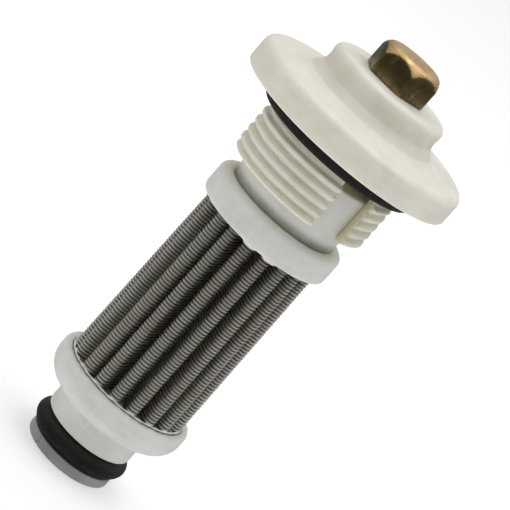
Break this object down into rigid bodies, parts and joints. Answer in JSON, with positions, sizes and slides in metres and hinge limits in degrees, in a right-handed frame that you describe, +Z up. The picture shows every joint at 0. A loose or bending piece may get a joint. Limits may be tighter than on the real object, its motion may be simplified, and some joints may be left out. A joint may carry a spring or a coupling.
{
  "type": "strainer cartridge",
  "caption": "Screw-in oil strainer cartridge: flanged threaded plastic cap with brass vent screw, pleated wire-cloth element that swivels, and an O-ring spigot outlet.",
  "frame": {"origin": "centre of the spigot's end face, on the axis", "axes": "+Z up along the axis from the spigot to the vent screw; the cap's two slots face -Y and +Y"},
  "size_m": [0.0464, 0.0464, 0.1006],
  "materials": {
    "cap_nylon": "ivory white moulded nylon, satin, slightly translucent",
    "cartridge_nylon": "cooler white moulded nylon, satin",
    "grey_nylon": "mid grey moulded nylon",
    "black_rubber": "black nitrile rubber, soft sheen",
    "brass": "turned and milled brass, slightly tarnished",
    "wire_mesh": "coarse stainless wire cloth, grey",
    "fine_cloth": "fine stainless filter cloth",
    "stainless_sheet": "bright stainless sheet",
    "spring_steel": "phosphated spring steel",
    "potting_resin": "grey cast epoxy resin"
  },
  "bodies": {
    "cap": {"screw_cap": "cap_nylon", "flange_seal_ring": "black_rubber", "stem_seal_ring": "black_rubber", "stem_retaining_ring": "spring_steel", "thrust_washer": "cartridge_nylon", "vent_thread_insert": "brass"},
    "vent_seal": {"vent_seal_ring": "black_rubber"},
    "vent_screw": {"vent_screw": "brass"},
    "cartridge": {"upper_end_cap": "cartridge_nylon", "closing_disc": "cartridge_nylon", "upper_potting": "potting_resin", "outer_mesh": "wire_mesh", "filter_cloth": "fine_cloth", "inner_mesh": "wire_mesh", "seam_strip": "stainless_sheet", "support_core": "stainless_sheet", "lower_potting": "potting_resin", "lower_end_cap": "cartridge_nylon", "spigot_seal_ring": "black_rubber", "outlet_bush": "grey_nylon"}
  },
  "joints": [
    {"name": "cartridge_swivel", "type": "hinge", "parent": "cap", "child": "cartridge", "pos_m": [0, 0, 0.069], "axis": [0, 0, 1], "continuous": true},
    {"name": "vent_screw_lift", "type": "slide", "parent": "cap", "child": "vent_seal", "axis": [0, 0, 1], "range_m": [0, 0.0026]},
    {"name": "vent_screw_turn", "type": "hinge", "parent": "vent_seal", "child": "vent_screw", "pos_m": [0, 0, 0.09], "axis": [0, 0, 1], "range_deg": [0, 720]}
  ],
  "couplings": [
    {"joint": "vent_screw_lift", "follows": "vent_screw_turn", "m_per_rad": 0.00019894}
  ]
}
